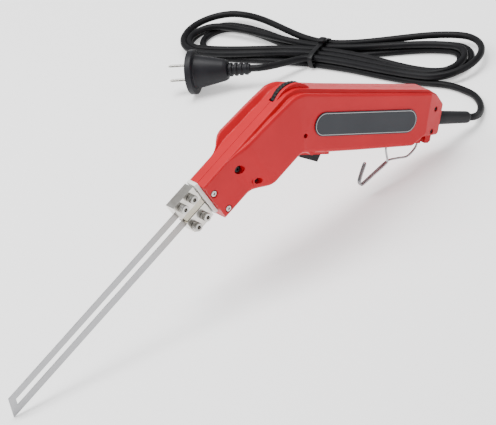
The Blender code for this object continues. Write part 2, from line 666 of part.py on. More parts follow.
def mains_plug():
    """A moulded two-pin plug with a round flange that rests on the floor, and its flat pins."""
    face = Vector(PLUG_FACE)
    axis = Vector(PLUG_AXIS).normalized()
    level = Vector((0.0, 0.0, 1.0)).cross(axis).normalized()
    upright = axis.cross(level)
    pitch = (upright * math.cos(PIN_TURN) - level * math.sin(PIN_TURN)).normalized()
    flange = lathe([(0.0, 18.9), (0.6, 19.4), (5.0, 19.4), (5.5, 18.9)], face, -axis, 40, pitch)
    made = finish("plug_body", flange, RUBBER, parent=floor)
    body = [(5.0, 14.6), (14.0, 13.2), (31.0, 9.6), (33.0, 8.6), (34.0, 6.2)]
    for ring in range(4):
        body += [(35.0 + 4.6 * ring, 6.0 - 0.2 * ring), (37.4 + 4.6 * ring, 5.9 - 0.2 * ring)]
        body += [(37.7 + 4.6 * ring, 4.5 - 0.1 * ring), (39.3 + 4.6 * ring, 4.5 - 0.1 * ring)]
    body.append((PLUG_LENGTH, 4.2))
    taper = lathe(body, face, -axis, 28, pitch, 0.86)
    helper = finish("helper", taper, None, parent=floor, collection=cutters)
    modifier = made.modifiers.new("body", "BOOLEAN")
    modifier.operation = "UNION"
    modifier.object = helper
    graph = bpy.context.evaluated_depsgraph_get()
    mesh = bpy.data.meshes.new_from_object(made.evaluated_get(graph))
    made.modifiers.remove(modifier)
    made.data = mesh
    bpy.data.objects.remove(helper, do_unlink=True)
    for name, sign in (("plug_pin_upper", 1.0), ("plug_pin_lower", -1.0)):
        root = face + pitch * PIN_PITCH * 0.5 * sign
        blade = [(GAP, 3.15), (17.3, 3.15), (18.6, 2.2)]
        broad = axis.cross(pitch)
        finish(name, lathe_flat(blade, root, axis, broad, pitch * 0.75), NICKEL, parent=floor)


def lathe_flat(profile, start, axis, broad, thin):
    """A flat bar whose half width follows the profile and whose half thickness is the thin vector."""
    bm = bmesh.new()
    rings = []
    for distance, half in profile:
        centre = Vector(start) + axis * distance
        corners = ((broad * half, thin), (-broad * half, thin), (-broad * half, -thin), (broad * half, -thin))
        rings.append([bm.verts.new(centre + a + b) for a, b in corners])
    bm.faces.new(rings[0])
    bm.faces.new(rings[-1])
    for low, high in zip(rings, rings[1:]):
        for i in range(4):
            j = (i + 1) % 4
            bm.faces.new((low[i], low[j], high[j], high[i]))
    return bm


def mains_lead():
    """The lead's open stretches: from the boot to the bundle, and from the tie to the plug."""
    exit_x, exit_y, exit_z = on_floor(BOOT_END + GAP, BOOT_Z)
    ahead = (math.cos(PITCH), 0.0, -math.sin(PITCH))
    free = [(exit_x + ahead[0] * d, 0.0, exit_z + ahead[2] * d) for d in (0.0, 6.0)]
    free += [(180.0, 5.0, 4.6), (190.0, 14.0, 3.3), (197.0, 26.0, 3.1), (200.4, 40.0, 3.1)]
    free.append((*on_hank(157.5, -21.0), 3.1))
    tube("cord_free", smooth_path(free, 14), CORD_RADIUS, RUBBER, parent=floor)
    back = Vector(PLUG_AXIS).normalized() * -1.0
    plug_end = Vector(PLUG_FACE) + back * (PLUG_LENGTH + GAP)
    lead = [tuple(plug_end), tuple(plug_end + back * 8.0)]
    lead += [(*on_hank(-16.0, -36.0), 13.5), (*on_hank(2.0, -25.0), 10.4)]
    tube("cord_to_plug", smooth_path(lead, 10), CORD_RADIUS, RUBBER, parent=floor)


hot_blade()
front_end()
housing("housing_near", -1.0)
housing("housing_far", 1.0)
for entry in CASE_SCREWS:
    case_screw(*entry)
label_plate()
dial()
trigger_group()
electrics()
hanging_hook()
strain_relief()
mains_lead()
tied_hank()
mains_plug()
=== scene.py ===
# %% [markdown]
# # A hot-knife foam cutter
# A handheld cutter for polystyrene foam: two red plastic shells round a small transformer, a slotted steel
# blade held in two nickel clamp blocks, a heat dial in a slot at the bend, a trigger, a wire hook to hang it
# by and a long rubber mains lead, folded into a bundle with a tie round it.
#
# The solids come from a drawing that is already made. This file gives them their looks. Each new piece is
# a surface worked out with numpy as a function of two parameters, so a lesson here is always a formula, a
# grid of points and a call that turns the grid into a mesh.
# %% Load the frame
import math

import bmesh
import bpy
import mathutils
import numpy as np
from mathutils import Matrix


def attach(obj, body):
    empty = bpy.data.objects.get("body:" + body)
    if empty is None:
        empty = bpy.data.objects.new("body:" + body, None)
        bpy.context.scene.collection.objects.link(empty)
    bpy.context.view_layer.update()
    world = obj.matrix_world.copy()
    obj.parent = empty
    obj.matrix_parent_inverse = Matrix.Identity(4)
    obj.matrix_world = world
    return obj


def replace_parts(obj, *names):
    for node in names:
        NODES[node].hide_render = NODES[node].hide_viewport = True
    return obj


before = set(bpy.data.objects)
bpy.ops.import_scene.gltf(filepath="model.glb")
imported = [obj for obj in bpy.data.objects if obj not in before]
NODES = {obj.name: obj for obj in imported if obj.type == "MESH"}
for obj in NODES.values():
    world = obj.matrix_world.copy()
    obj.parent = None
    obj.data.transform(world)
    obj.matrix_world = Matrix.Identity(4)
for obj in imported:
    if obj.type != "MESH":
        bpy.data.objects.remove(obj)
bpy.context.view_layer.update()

# %% [markdown]
# ## Where things are
# The tool is drawn in its own axes, in millimetres: x rearward along the handle, y across and z up. The nose
# has a second pair of axes in the same plane, u forward along the blade and v downward across it. The whole
# tool is then tipped forward until the blade's tip touches the floor, and slid along x until the origin lies
# under its middle.
# %% The tool's axes
MM = 0.001
BEND = math.radians(47.6)
PITCH = math.radians(28.0)
BLADE_LONG, BLADE_BOTTOM = 329.5, 18.7
BOOT_Z, BOOT_END, BOOT_RADIUS = -25.5, 200.0, 4.9


def uv(u, v):
    """x = -u cos(bend) + v sin(bend) and z = -u sin(bend) - v cos(bend)."""
    return (-u * math.cos(BEND) + v * math.sin(BEND), -u * math.sin(BEND) - v * math.cos(BEND))


tip_x, tip_z = uv(BLADE_LONG, BLADE_BOTTOM)
LIFT = tip_x * math.sin(PITCH) - tip_z * math.cos(PITCH)
front_x = tip_x * math.cos(PITCH) + tip_z * math.sin(PITCH)
rear_x = BOOT_END * math.cos(PITCH) + (BOOT_Z + BOOT_RADIUS) * math.sin(PITCH)
SHIFT = -0.5 * (front_x + rear_x)


def on_floor(points):
    """Floor points in millimetres to the frame's metres: slide along x, then scale."""
    return (np.asarray(points, float) + (SHIFT, 0.0, 0.0)) * MM


def from_tool(points):
    """Tool points to the frame: turn by the pitch about y, lift, slide and scale."""
    p = np.asarray(points, float)
    x = p[..., 0] * math.cos(PITCH) + p[..., 2] * math.sin(PITCH)
    z = -p[..., 0] * math.sin(PITCH) + p[..., 2] * math.cos(PITCH) + LIFT
    return on_floor(np.stack([x, p[..., 1], z], axis=-1))


tip = from_tool([tip_x, 0.0, tip_z])

# %% [markdown]
# ## Camera
# A long lens from the tool's front left, a good way above the table. The three directions are the camera's
# right, up and back, so they are the columns of its rotation matrix.
# %% Camera
right = np.array([0.76545, -0.60253, -0.22594])
up = np.array([0.47606, 0.29399, 0.82882])
camera = bpy.data.objects.new("camera", bpy.data.cameras.new("camera"))
camera.data.sensor_width = 36.0
camera.data.lens = 239.5
camera.data.clip_end = 20.0
place = np.eye(4)
place[:3, 0], place[:3, 1], place[:3, 2] = right, up, np.cross(right, up)
place[:3, 3] = on_floor([-1175.9, -1913.7, 1366.5])
camera.matrix_world = mathutils.Matrix(place.tolist())
bpy.context.scene.collection.objects.link(camera)
bpy.context.scene.camera = camera
print("camera at", np.round(place[:3, 3], 3), "metres")

# %% [markdown]
# ## A small language for materials
# A material is a graph of nodes. Written out one by one they hide the idea, so one class wraps a socket and
# gives it the signs of arithmetic: `0.4 + 0.1 * grain` adds the Math nodes by itself. A second class starts
# a material and makes every other node through one method.
# %% Sockets that can be added and multiplied


class Value:
    """A socket in a material's graph that takes part in sums, on either side of the sign."""

    def __init__(self, graph, socket):
        self.graph = graph
        self.socket = socket

    def sum(self, operation, first, second):
        return self.graph.maths(operation, first, second)

    def __add__(self, other):
        return self.sum("ADD", self, other)

    def __radd__(self, other):
        return self.sum("ADD", other, self)

    def __sub__(self, other):
        return self.sum("SUBTRACT", self, other)

    def __rsub__(self, other):
        return self.sum("SUBTRACT", other, self)

    def __mul__(self, other):
        return self.sum("MULTIPLY", self, other)

    def __rmul__(self, other):
        return self.sum("MULTIPLY", other, self)

    def step(self, low, high):
        """0 below low, 1 above high and a smooth rise between them."""
        settings = {"interpolation_type": "SMOOTHSTEP"}
        return self.graph.node("MapRange", settings, {0: self, 1: low, 2: high})


class Graph:
    """A new material with its Principled shader."""

    def __init__(self, name, roughness, metallic=0.0, **fixed):
        self.material = bpy.data.materials.new(name)
        self.material.use_nodes = True
        self.tree = self.material.node_tree
        self.shader = self.tree.nodes["Principled BSDF"]
        self.feed(self.shader.inputs["Roughness"], roughness)
        self.feed(self.shader.inputs["Metallic"], metallic)
        for key, value in fixed.items():
            self.feed(self.shader.inputs[key.replace("_", " ")], value)

    def feed(self, socket, value):
        if isinstance(value, Value):
            self.tree.links.new(value.socket, socket)
        else:
            socket.default_value = value

    def node(self, kind, settings=None, inputs=None, output=0):
        """Any node: its settings first, then its sockets' values or links."""
        made = self.tree.nodes.new("ShaderNode" + kind)
        for key, value in (settings or {}).items():
            setattr(made, key, value)
        for key, value in (inputs or {}).items():
            self.feed(made.inputs[key], value)
        return Value(self, made.outputs[output])

    def place(self):
        """Object coordinates, which here are the frame's metres."""
        return self.node("TexCoord", output="Object")

    def maths(self, operation, first, second=0.0):
        """One Math node, for what the signs can't say."""
        return self.node("Math", {"operation": operation}, {0: first, 1: second})

    def along(self, direction):
        """How far a point lies along a direction, in metres."""
        return self.node("VectorMath", {"operation": "DOT_PRODUCT"}, {0: self.place(), 1: direction}, "Value")

    def noise(self, scale, detail=2.0, vector=None):
        """Cloudy noise from 0 to 1, whose spots are about 1 / scale metres wide."""
        inputs = {"Scale": scale, "Detail": detail, "Vector": vector or self.place()}
        return self.node("TexNoise", None, inputs)

    def mix(self, factor, first, second):
        """A colour between two others."""
        return self.node("Mix", {"data_type": "RGBA"}, {0: factor, 6: first, 7: second}, 2)

    def finish(self, colour, roughness=None, height=None, depth=0.0):
        """Feeds colour, roughness and a bump whose full height is depth metres."""
        self.feed(self.shader.inputs["Base Color"], colour)
        if roughness is not None:
            self.feed(self.shader.inputs["Roughness"], roughness)
        if height is not None:
            bump = self.node("Bump", None, {"Height": height, "Distance": depth, "Strength": 1.0})
            self.feed(self.shader.inputs["Normal"], bump)
        return self.material


def rgb(red, green, blue):
    return (red, green, blue, 1.0)


# %% [markdown]
# ## Plastics and rubber
# Moulded plastic is never quite even. The tool that made it was spark eroded, which leaves a grain about
# half a millimetre across, and handling polishes some of it. So each plastic has a fine bump, a slow drift in
# roughness and a very slight drift in colour.
# %% Plastics and rubber


RED_SHINE, BLACK_SHINE, SHEATH_SHINE = 0.22, 0.2, 0.12


def moulded(name, dark, light, low, high, grain, depth, shine=0.5):
    """Plastic whose colour drifts from dark to light and whose roughness runs from low to high.

    Shine is how strongly the surface mirrors at a glance: 0.5 is clean glossy plastic, and less is duller.
    """
    g = Graph(name, low, Specular_IOR_Level=shine)
    drift = g.noise(28.0, 3.0)
    rub = g.noise(260.0, 4.0)
    fine = g.noise(grain, 3.0)
    colour = g.mix(drift.step(0.3, 0.7), rgb(*dark), rgb(*light))
    return g.finish(colour, low + (high - low) * rub, fine, depth)


RED = moulded(
    "red_plastic", (0.44, 0.0002, 0.007), (0.49, 0.0005, 0.009), 0.36, 0.50, 1900.0, 0.00002, RED_SHINE
)
BLACK = moulded(
    "black_plastic", (0.005, 0.005, 0.006), (0.009, 0.009, 0.010), 0.36, 0.52, 2200.0, 0.00003, BLACK_SHINE
)
RUBBER = moulded(
    "black_rubber", (0.006, 0.006, 0.008), (0.011, 0.011, 0.014), 0.40, 0.56, 1500.0, 0.00004, RED_SHINE
)
SHEATH = moulded(
    "lead_sheath", (0.004, 0.004, 0.005), (0.009, 0.009, 0.010), 0.40, 0.55, 900.0, 0.00003, SHEATH_SHINE
)
CERAMIC = moulded("white_ceramic", (0.78, 0.77, 0.73), (0.86, 0.85, 0.81), 0.42, 0.60, 1400.0, 0.00004)
MICA = moulded("cream_insulator", (0.60, 0.55, 0.42), (0.74, 0.70, 0.58), 0.40, 0.55, 1200.0, 0.00004)
BOARD = moulded("circuit_board", (0.02, 0.16, 0.06), (0.03, 0.22, 0.08), 0.40, 0.50, 1800.0, 0.00002)

# %% [markdown]
# ## Metals
# A plated block is almost a mirror with faint polishing lines. The blade is ground lengthwise, so its lines
# are noise stretched along the blade: the coordinate along it is squeezed and the one across it is not.
# Toward the clamps it has a painted shade, darker and browner, for the shadow that the clamp blocks cast on
# it.
# %% Metals


def in_plane(u, v):
    """The frame's point, in metres, at (u, v) in the tool's middle plane."""
    x, z = uv(u, v)
    return from_tool([x, 0.0, z])


AXIS_U = tuple((in_plane(1.0, 0.0) - in_plane(0.0, 0.0)) / MM)
AXIS_V = tuple((in_plane(0.0, 1.0) - in_plane(0.0, 0.0)) / MM)


def metal(name, dark, light, low, high, scale=420.0, depth=0.00001):
    """Metal with cloudy polish: colour from dark to light and roughness from low to high."""
    g = Graph(name, low, 1.0)
    cloud = g.noise(scale * 0.2, 4.0)
    fine = g.noise(scale * 6.0, 2.0)
    colour = g.mix(cloud.step(0.25, 0.75), rgb(*dark), rgb(*light))
    return g.finish(colour, low + (high - low) * cloud, fine, depth)


def ground_steel():
    """Steel ground along u: noise read at (0.03 u, v), with painted shade near the clamps by a smooth step of
    u.
    """
    g = Graph("blade_steel", 0.34, 1.0)
    u, v = g.along(AXIS_U), g.along(AXIS_V)
    stretched = g.node("CombineXYZ", None, {0: u * 0.03, 1: v, 2: 0.0})
    lines = g.noise(3200.0, 3.0, stretched)
    cloud = g.noise(60.0, 3.0)
    # Painted shade: near the clamps the blade's colour is mixed toward dark brown, where the clamp blocks
    # shadow it.
    clamp_shade = 1.0 - (u - float(in_plane(150.0, 0.0) @ np.array(AXIS_U))).step(-0.025, 0.03)
    steel = g.mix(lines, rgb(0.28, 0.28, 0.29), rgb(0.42, 0.42, 0.43))
    colour = g.mix(clamp_shade * 0.55, steel, rgb(0.30, 0.27, 0.24))
    return g.finish(colour, 0.28 + 0.18 * lines + 0.06 * cloud, lines, 0.00002)


STEEL = ground_steel()
NICKEL = metal("nickel_plate", (0.46, 0.44, 0.40), (0.64, 0.62, 0.59), 0.10, 0.24)
CHROME = metal("chrome_wire", (0.26, 0.26, 0.27), (0.40, 0.40, 0.41), 0.10, 0.20)
SOCKET = metal("screw_steel", (0.34, 0.33, 0.31), (0.56, 0.55, 0.53), 0.14, 0.30)
DARK_STEEL = metal("blackened_steel", (0.02, 0.02, 0.02), (0.05, 0.05, 0.05), 0.35, 0.50)
IRON = metal("lamination_steel", (0.16, 0.16, 0.17), (0.30, 0.30, 0.31), 0.35, 0.55)
COPPER = metal("copper", (0.50, 0.20, 0.08), (0.66, 0.31, 0.14), 0.25, 0.40)
print("materials:", len(bpy.data.materials))

# %% [markdown]
# ## Surfaces from grids
# Nearly every piece is a grid of points, n rings of m points each. Joining each point with its neighbours in
# the ring and in the next ring gives the faces. `turned` carries a profile of distances and radii round an
# axis, which is the formula P(i, a) = start + axis d(i) + (side cos a + other sin a) r(i, a).
# %% Grids and turned shapes


def grid_faces(rings, count, closed):
    """The quads of a grid whose rings are closed; with closed the last ring also meets the first."""
    i, j = np.meshgrid(np.arange(rings if closed else rings - 1), np.arange(count), indexing="ij")
    k, l = (i + 1) % rings, (j + 1) % count
    return np.stack([i * count + j, i * count + l, k * count + l, k * count + j], axis=-1).reshape(-1, 4)


def solid(name, points, closed=False):
    """A closed mesh object from an (n, m, 3) grid in metres, with end caps unless it closes on itself."""
    rings, count = points.shape[:2]
    faces = grid_faces(rings, count, closed).tolist()
    if not closed:
        faces.append(list(range(count)))
        faces.append(list(range((rings - 1) * count, rings * count)))
    mesh = bpy.data.meshes.new(name)
    mesh.from_pydata(points.reshape(-1, 3).tolist(), [], faces)
    bm = bmesh.new()
    bm.from_mesh(mesh)
    bmesh.ops.remove_doubles(bm, verts=bm.verts, dist=1e-7)
    bmesh.ops.dissolve_degenerate(bm, edges=bm.edges, dist=1e-8)
    bmesh.ops.recalc_face_normals(bm, faces=bm.faces)
    bm.to_mesh(mesh)
    bm.free()
    made = bpy.data.objects.new(name, mesh)
    bpy.context.scene.collection.objects.link(made)
    return made


def turned(profile, start, axis, side, count, ripple=None, flat=1.0):
    """The grid of a turned shape from (distance, radius) pairs; ripple(angle, ring) multiplies the radius."""
    axis, side = (np.asarray(a, float) / np.linalg.norm(a) for a in (axis, side))
    other = np.cross(axis, side) * flat
    profile = np.asarray(profile, float)
    angle = 2.0 * math.pi * np.arange(count) / count
    radius = profile[:, 1:2] * np.ones(count)
    if ripple is not None:
        radius = radius * ripple(angle[None, :], np.arange(len(profile))[:, None])
    spoke = np.cos(angle)[:, None] * side + np.sin(angle)[:, None] * other
    return np.asarray(start, float) + profile[:, :1, None] * axis + radius[..., None] * spoke


def rounded(points, radius, steps=4):
    """An open polyline, of any number of columns, with each corner replaced by a short parabola.

    At a corner C between A and B the curve is (1-t)^2 P + 2t(1-t) C + t^2 Q, where P and Q lie on the two
    sides at the radius from C, or at 45% of the side where that is shorter.
    """
    p = np.asarray(points, float)
    length = np.maximum(np.linalg.norm(np.diff(p, axis=0), axis=1), 1e-9)
    radius = np.broadcast_to(np.asarray(radius, float), (len(p),))[1:-1]
    before = np.minimum(radius, 0.45 * length[:-1])[:, None]
    after = np.minimum(radius, 0.45 * length[1:])[:, None]
    corner = p[1:-1]
    first = corner + (p[:-2] - corner) * before / length[:-1, None]
    last = corner + (p[2:] - corner) * after / length[1:, None]
    t = np.linspace(0.0, 1.0, steps + 1)[None, :, None]
    curve = (1 - t) ** 2 * first[:, None] + 2 * t * (1 - t) * corner[:, None] + t**2 * last[:, None]
    return np.concatenate([p[:1], curve.reshape(-1, p.shape[1]), p[-1:]])


def dress(made, body, material, angle=32.0, weighted=False):
    """Shading, material and body of a finished piece."""
    made.data.materials.clear()
    made.data.materials.append(material)
    if made.type == "MESH":
        made.data.shade_smooth()
        made.data.set_sharp_from_angle(angle=math.radians(angle))
    if weighted:
        normals = made.modifiers.new("face weighted normals", "WEIGHTED_NORMAL")
        normals.keep_sharp = True
    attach(made, body)
    return made


def softened(node, name, body, material, width, segments=3):
    """A copy of a drawn node with its flat faces merged and its edges rounded by a Bevel modifier."""
    bm = bmesh.new()
    bm.from_mesh(NODES[node].data)
    bmesh.ops.remove_doubles(bm, verts=bm.verts, dist=1e-6)
    bmesh.ops.dissolve_limit(bm, angle_limit=math.radians(0.8), verts=bm.verts, edges=bm.edges)
    mesh = bpy.data.meshes.new(name)
    bm.to_mesh(mesh)
    bm.free()
    made = bpy.data.objects.new(name, mesh)
    bpy.context.scene.collection.objects.link(made)
    bevel = made.modifiers.new("rounded edges", "BEVEL")
    bevel.width = width * MM
    bevel.segments = segments
    bevel.limit_method = "ANGLE"
    bevel.angle_limit = math.radians(28.0)
    dress(made, body, material, 40.0, weighted=True)
    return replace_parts(made, node)


# %% [markdown]
# ## The mains lead
# The lead is one length of 6 mm rubber flex. It leaves the boot, drops to the table, and is folded into a
# bundle of nine runs, two layers deep, with a tie round the waist. A neat way to fold flex is a flat spiral:
# each fold lies round the one before it, so nothing has to pass through anything. The lower layer winds
# inward and the upper one outward. Each run is a smooth blend from its place at the waist to the arm of its
# fold, and each fold is half a circle.
# %% The lead's route
CORD_RADIUS = 3.0
TIE_CENTRE = np.array([173.0, 205.0])
HANK_AXIS = np.array([0.344, -0.939])
PLUG_FACE = np.array([77.5, 266.1, 19.6])
PLUG_AXIS = np.array([-0.63, 0.776, 0.03]) / np.linalg.norm([-0.63, 0.776, 0.03])
PLUG_LENGTH = 54.0
LOW, HIGH = 3.1, 9.4


def on_hank(points):
    """(along, across, height) measured from the tie to floor millimetres."""
    p = np.asarray(points, float)
    side = np.array([-HANK_AXIS[1], HANK_AXIS[0]])
    flat = TIE_CENTRE + p[..., :1] * HANK_AXIS + p[..., 1:2] * side
    return np.concatenate([flat, p[..., 2:3]], axis=-1)


def ease(t):
    """3 t^2 - 2 t^3, which starts and ends level."""
    t = np.clip(t, 0.0, 1.0)
    return t * t * (3.0 - 2.0 * t)


# Each fold: the run before and after it at the waist, its centre across, its radius, where it is along,
# and the heights before and after it.
FOLDS = (
    (-13.0, 9.5, 7.5, 26.5, -114.0, LOW, LOW),
    (9.5, -5.5, 11.0, 26.0, 114.0, LOW, LOW),
    (-5.5, 2.0, 10.5, 18.6, -110.0, LOW, LOW),
    (2.0, 0.0, 9.0, 19.0, 112.0, LOW, HIGH),
    (0.0, 6.3, 2.5, 18.6, -118.0, HIGH, HIGH),
    (6.3, -6.3, 5.0, 22.4, 116.0, HIGH, HIGH),
    (-6.3, 12.6, 10.5, 33.2, -112.0, HIGH, HIGH),
    (12.6, -12.8, 10.6, 33.4, 117.0, HIGH, HIGH),
)


def folded_runs():
    """The points of all the folds: out along a run, round half a circle and back to the waist."""
    made = []
    for before, after, centre, radius, along, low, high in FOLDS:
        turn = np.sign(after - before) if low == high else -1.0
        reach = np.linspace(0.0, 1.0, 9)[:-1]
        out = before + (centre - turn * radius - before) * ease(reach)
        back = after + (centre + turn * radius - after) * ease(reach)
        angle = math.pi * np.linspace(0.0, 1.0, 13)
        lift = ease((angle / math.pi - 0.55) / 0.45) * (high - low) * 0.5
        climb = high - (high - low) * 0.5 * ease((reach - 0.4) / 0.6)
        made.append(np.stack([along * reach, out, np.full(8, low)], axis=1)[1:])
        round_ = [along + np.sign(along) * radius * np.sin(angle), centre - turn * radius * np.cos(angle)]
        made.append(np.stack([*round_, low + lift], axis=1))
        made.append(np.stack([along * reach, back, climb], axis=1)[::-1])
    return np.concatenate(made)


def smooth_route(points, step):
    """A Catmull-Rom curve through the points, read again every step millimetres."""
    p = np.concatenate([2 * points[:1] - points[1:2], points, 2 * points[-1:] - points[-2:-1]])
    a, b, c, d = (p[i : len(p) - 3 + i][:, None] for i in range(4))
    t = np.linspace(0.0, 1.0, 17)[None, :-1, None]
    bend = (2 * a - 5 * b + 4 * c - d) * t**2 + (3 * b - a - 3 * c + d) * t**3
    fine = (0.5 * (2 * b + (c - a) * t + bend)).reshape(-1, p.shape[1])
    fine = np.concatenate([fine, points[-1:]])
    length = np.concatenate([[0.0], np.cumsum(np.linalg.norm(np.diff(fine, axis=0), axis=1))])
    at = np.linspace(0.0, length[-1], int(length[-1] / step) + 1)
    return np.stack([np.interp(at, length, column) for column in fine.T], axis=1)


def relaxed(points, rounds):
    """Each inner point moved half way to the middle of its neighbours, a number of times."""
    p = points.copy()
    for _ in range(rounds):
        p[1:-1] = 0.5 * p[1:-1] + 0.25 * (p[:-2] + p[2:])
    return p


boot_exit = from_tool([BOOT_END + 0.3, 0.0, BOOT_Z]) / MM - (SHIFT, 0.0, 0.0)
ahead = np.array([math.cos(PITCH), 0.0, -math.sin(PITCH)])
leave = [boot_exit, boot_exit + 6.0 * ahead, [180.0, 5.0, 4.6], [190.0, 14.0, 3.3]]
leave += [[197.0, 26.0, 3.1], [200.4, 40.0, 3.1]]
near = [[140.0, -23.6], [110.0, -23.6], [75.0, -20.5], [38.0, -15.5], [0.0, -13.0]]
near = on_hank([[along, across, LOW] for along, across in near])
plug_end = PLUG_FACE - PLUG_AXIS * (PLUG_LENGTH + 0.3)
last = on_hank([[-9.0, -16.5, 10.0], [-17.0, -27.0, 12.0], [-24.0, -39.0, 15.0]])
arrive = [plug_end - PLUG_AXIS * 9.0, plug_end]
route = np.concatenate([leave, near, on_hank(folded_runs()), last, arrive])
line = relaxed(smooth_route(route, 1.5), 6)
line[:, 2] = np.maximum(line[:, 2], CORD_RADIUS + 0.05)
cord_length = np.linalg.norm(np.diff(line, axis=0), axis=1).sum() * MM
print("the lead is", round(cord_length, 3), "m long and has", len(line), "points")

# %% The lead as a round curve


def wire(name, points, radius, resolution):
    """A curve object with round section through points in metres."""
    curve = bpy.data.curves.new(name, "CURVE")
    curve.dimensions = "3D"
    curve.bevel_depth = radius * MM
    curve.bevel_resolution = resolution
    curve.use_fill_caps = True
    spline = curve.splines.new("POLY")
    spline.points.add(len(points) - 1)
    spline.points.foreach_set("co", np.c_[points, np.ones(len(points))].astype(np.float32).ravel())
    spline.use_smooth = True
    made = bpy.data.objects.new(name, curve)
    bpy.context.scene.collection.objects.link(made)
    return made


lead = dress(wire("mains_lead", on_floor(line), CORD_RADIUS, 4), "root", SHEATH)
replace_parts(lead, "cord_free", "cord_hank", "cord_to_plug")

# %% [markdown]
# ## The plug
# A moulded plug is one turned shape, but not a round one: behind its round flange the body is an ellipse that
# narrows to a strain relief of separate collars, so the lead can bend there. The flange is one grid and
# the body another, drawn a little into it.
# %% Plug and pins
PIN_TURN = math.radians(19.0)
level = np.cross([0.0, 0.0, 1.0], PLUG_AXIS)
level = level / np.linalg.norm(level)
upright = np.cross(PLUG_AXIS, level)
pitch_way = upright * math.cos(PIN_TURN) - level * math.sin(PIN_TURN)


def plug():
    """Flange: r(d) with 0.7 mm rounded rims. Body: r(d) from 14.6 to 9.6 mm, squashed to 86% one way."""
    flange = rounded([(0.0, 0.01), (0.0, 19.4), (5.5, 19.4), (5.5, 0.01)], 0.7, 4)
    made = solid("plug_flange", on_floor(turned(flange, PLUG_FACE, -PLUG_AXIS, pitch_way, 96)))
    dress(made, "root", RUBBER, 50.0)
    outline = [(4.0, 0.01), (4.0, 16.4), (6.4, 14.6), (14.0, 13.2), (31.0, 9.6), (34.0, 8.2), (34.6, 4.4)]
    for collar in range(4):
        d = 35.6 + 4.6 * collar
        r = 6.0 - 0.2 * collar
        outline += [(d, 4.4), (d, r), (d + 2.6, r), (d + 2.6, 4.4)]
    outline += [(PLUG_LENGTH, 4.2), (PLUG_LENGTH, 0.01)]
    points = turned(rounded(outline, 0.5, 3), PLUG_FACE, -PLUG_AXIS, pitch_way, 80, None, 0.86)
    body = solid("plug_body_moulding", on_floor(points))
    dress(body, "root", RUBBER, 50.0)
    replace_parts(body, "plug_body")
    return [made, body]


plug_pieces = plug()
for pin in ("upper", "lower"):
    plug_pieces.append(softened(f"plug_pin_{pin}", f"plug_pin_{pin}_plated", "root", NICKEL, 0.25))
print("plug pieces:", len(plug_pieces))

# %% [markdown]
# ## The tie
# A nylon tie is a flat strap pulled through its own head. The strap's line round the bundle is a rounded
# rectangle, |x/a|^4 + |z/b|^4 = 1, and its section is a thin rounded bar.
# %% Tie


def tie():
    """P(t, s): a superellipse point, plus the section's offset along its normal and along the bundle."""
    turn = 2.0 * math.pi * np.arange(120) / 120
    across = 17.4 * np.sign(np.cos(turn)) * np.abs(np.cos(turn)) ** 0.5 - 1.2
    height = 7.0 * np.sign(np.sin(turn)) * np.abs(np.sin(turn)) ** 0.5 + 7.25
    ring = np.stack([across, height], axis=1)
    tangent = np.roll(ring, -1, axis=0) - np.roll(ring, 1, axis=0)
    normal = np.stack([tangent[:, 1], -tangent[:, 0]], axis=1)
    normal = normal / np.linalg.norm(normal, axis=1)[:, None]
    w, h = 2.3, 0.45
    section = rounded([(-w, 0.0), (-w, h), (w, h), (w, -h), (-w, -h), (-w, -0.1)], 0.2, 2)
    flat = ring[:, None] + normal[:, None] * section[None, :, 1:2]
    along = np.broadcast_to(section[None, :, :1], flat.shape[:2] + (1,))
    points = on_hank(np.concatenate([along, flat], axis=-1))
    made = solid("tie_strap", on_floor(points), closed=True)
    dress(made, "root", BLACK, 40.0)
    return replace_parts(made, "cord_tie")


def tie_head():
    """A rounded block that sits on the strap: a superellipsoid |x/a|^4 + |y/b|^4 + |z/c|^4 = 1."""
    a = np.linspace(-0.5, 0.5, 17)[:, None] * math.pi
    b = 2.0 * math.pi * np.arange(32)[None, :] / 32

    def soft(value):
        return np.sign(value) * np.abs(value) ** 0.5

    x = 3.6 * soft(np.cos(a)) * soft(np.cos(b))
    y = 3.4 * soft(np.cos(a)) * soft(np.sin(b)) + 6.0
    z = 2.3 * soft(np.sin(a)) * np.ones_like(b) + 15.6
    made = solid("tie_head", on_floor(on_hank(np.stack([x, y, z], axis=-1))))
    return dress(made, "root", BLACK, 50.0)


tie_pieces = [tie(), tie_head()]
tuple(from_tool([BOOT_END, 0.0, BOOT_Z]))
plug_pieces + tie_pieces
print("tie pieces:", len(tie_pieces))

# %% [markdown]
# ## The boot
# The boot keeps the lead from breaking where it enters the handle. It is a turned shape again, with the
# flange that the shells hold, a narrow neck in their wall and a long taper that gives way little by little.
# %% Boot


def boot():
    """r(d): flange, neck, then a taper from 5.7 to 4.95 mm, with a rounded end."""
    start, wall, end = 146.6, 18.2, BOOT_END - 146.6
    outline = [(0.0, 0.01), (0.0, 6.8), (3.2, 6.8), (3.2, 4.5), (wall, 4.5), (wall, 5.7), (wall + 6.0, 5.6)]
    outline += [(end - 1.5, 4.95), (end, 4.6), (end, 0.01)]
    points = turned(rounded(outline, 0.5, 4), [start, 0.0, BOOT_Z], [1.0, 0.0, 0.0], [0.0, 0.0, 1.0], 64)
    made = solid("boot_moulding", from_tool(points))
    dress(made, "root", RUBBER, 45.0)
    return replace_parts(made, "strain_relief_boot")


boot()
print("boot reaches", round(BOOT_END, 1), "mm along the handle")

# %% [markdown]
# ## The red shells
# The housing is a loft: a list of stations from the nose to the rear cap, each with its top and bottom point
# in the side plane, its half width, and how far the rim and the groove beside the flat spine lie below it.
# Two shapes come from rounding corners. Rounding the list of stations makes the bend and the ramps run
# smoothly into each other, and rounding each section makes soft edges with sharp highlights.
# %% Stations and sections
SEAM, WALL = 0.15, 3.0
SPINE_HALF, SPINE_V = 9.4, -0.7
NOSE_HALF, BODY_HALF = 10.2, 20.0
NOSE_END, NOSE_DEPTH, BULGE_DEPTH = 103.0, 37.3, 43.0
RAMP_FRONT, RAMP_BACK = 76.0, 56.0
HANDLE_END, HANDLE_TAPER, CAP_END = 145.0, 7.0 / 146.0, 164.5


